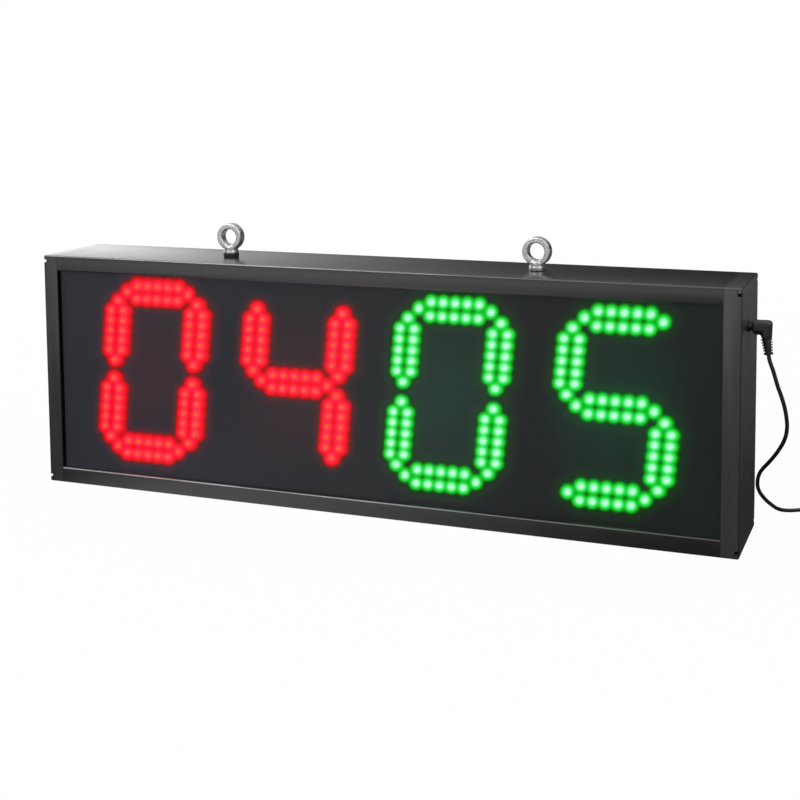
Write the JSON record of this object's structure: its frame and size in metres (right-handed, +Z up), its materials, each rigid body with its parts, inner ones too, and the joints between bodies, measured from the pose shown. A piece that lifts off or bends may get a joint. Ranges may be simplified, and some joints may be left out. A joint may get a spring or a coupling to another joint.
{
  "type": "electronic scoreboard",
  "caption": "Wide black sheet-steel scoreboard with dot-matrix digits in red and green behind a smoked panel, hung from eye bolts and fed by a right-angle plug.",
  "frame": {"origin": "centre of the case's footprint, on the surface it stands on", "axes": "+X to the right along the case as the digits are read, +Y to the back, +Z up"},
  "size_m": [0.9116, 0.1846, 0.2993],
  "materials": {
    "case_black": "satin black powder coat on folded sheet steel",
    "panel_smoke": "dark smoked acrylic, polished",
    "bare_aluminium": "mill finish",
    "board_green": "green solder resist on laminate",
    "lamp_red": "water-clear lamp lens, lit red",
    "lamp_green": "water-clear lamp lens, lit green",
    "zinc_plate": "bright zinc plate",
    "galvanised_iron": "cast and zinc coated, slightly pitted",
    "nylon_white": "natural nylon",
    "ribbon_grey": "grey vinyl ribbon",
    "nickel_plate": "nickel plate",
    "black_moulding": "satin black moulding",
    "cord_sheath": "smooth black vinyl sheath"
  },
  "bodies": {
    "case": {"top_rail": "case_black", "bottom_rail": "case_black", "left_end_cap": "case_black", "right_end_cap": "case_black", "rear_cover": "case_black", "front_panel": "panel_smoke", "panel_retainer_top": "bare_aluminium", "panel_retainer_bottom": "bare_aluminium", "board_angle_top": "bare_aluminium", "board_angle_bottom": "bare_aluminium", "digit_board_1": "board_green", "digit_board_2": "board_green", "digit_board_3": "board_green", "digit_board_4": "board_green", "control_board": "board_green", "rear_screw_1": "zinc_plate", "rear_screw_2": "zinc_plate", "rear_screw_3": "zinc_plate", "rear_screw_4": "zinc_plate", "rear_screw_5": "zinc_plate", "rear_screw_6": "zinc_plate", "rear_screw_7": "zinc_plate", "rear_screw_8": "zinc_plate", "digit_screw_1_upper": "zinc_plate", "digit_screw_1_lower": "zinc_plate", "digit_screw_2_upper": "zinc_plate", "digit_screw_2_lower": "zinc_plate", "digit_screw_3_upper": "zinc_plate", "digit_screw_3_lower": "zinc_plate", "digit_screw_4_upper": "zinc_plate", "digit_screw_4_lower": "zinc_plate", "left_eye_washer": "zinc_plate", "left_eye_nut": "zinc_plate", "right_eye_washer": "zinc_plate", "right_eye_nut": "zinc_plate", "board_pillar_1": "nylon_white", "board_pillar_2": "nylon_white", "board_pillar_3": "nylon_white", "board_pillar_4": "nylon_white", "ribbon_cable_1": "ribbon_grey", "ribbon_cable_2": "ribbon_grey", "ribbon_cable_3": "ribbon_grey", "ribbon_cable_control": "ribbon_grey", "jack_nut": "nickel_plate", "supply_jack": "black_moulding", "supply_lead": "cord_sheath"},
    "left_eye": {"left_eye_bolt": "galvanised_iron"},
    "right_eye": {"right_eye_bolt": "galvanised_iron"},
    "supply_plug": {"plug_body": "black_moulding", "plug_sleeve": "nickel_plate", "power_cord": "cord_sheath", "cord_coil": "cord_sheath", "cord_tie": "black_moulding", "adapter_cord": "cord_sheath", "adapter_body": "black_moulding", "adapter_blade_left": "nickel_plate", "adapter_blade_right": "nickel_plate"}
  },
  "joints": [
    {"name": "left_eye_turn", "type": "hinge", "parent": "case", "child": "left_eye", "pos_m": [-0.179, 0, 0.262], "axis": [0, 0, 1], "range_deg": [-90, 90]},
    {"name": "right_eye_turn", "type": "hinge", "parent": "case", "child": "right_eye", "pos_m": [0.175, 0, 0.262], "axis": [0, 0, 1], "range_deg": [-90, 90]},
    {"name": "plug_pull", "type": "slide", "parent": "case", "child": "supply_plug", "axis": [1, 0, 0], "range_m": [0, 0.012]}
  ]
}
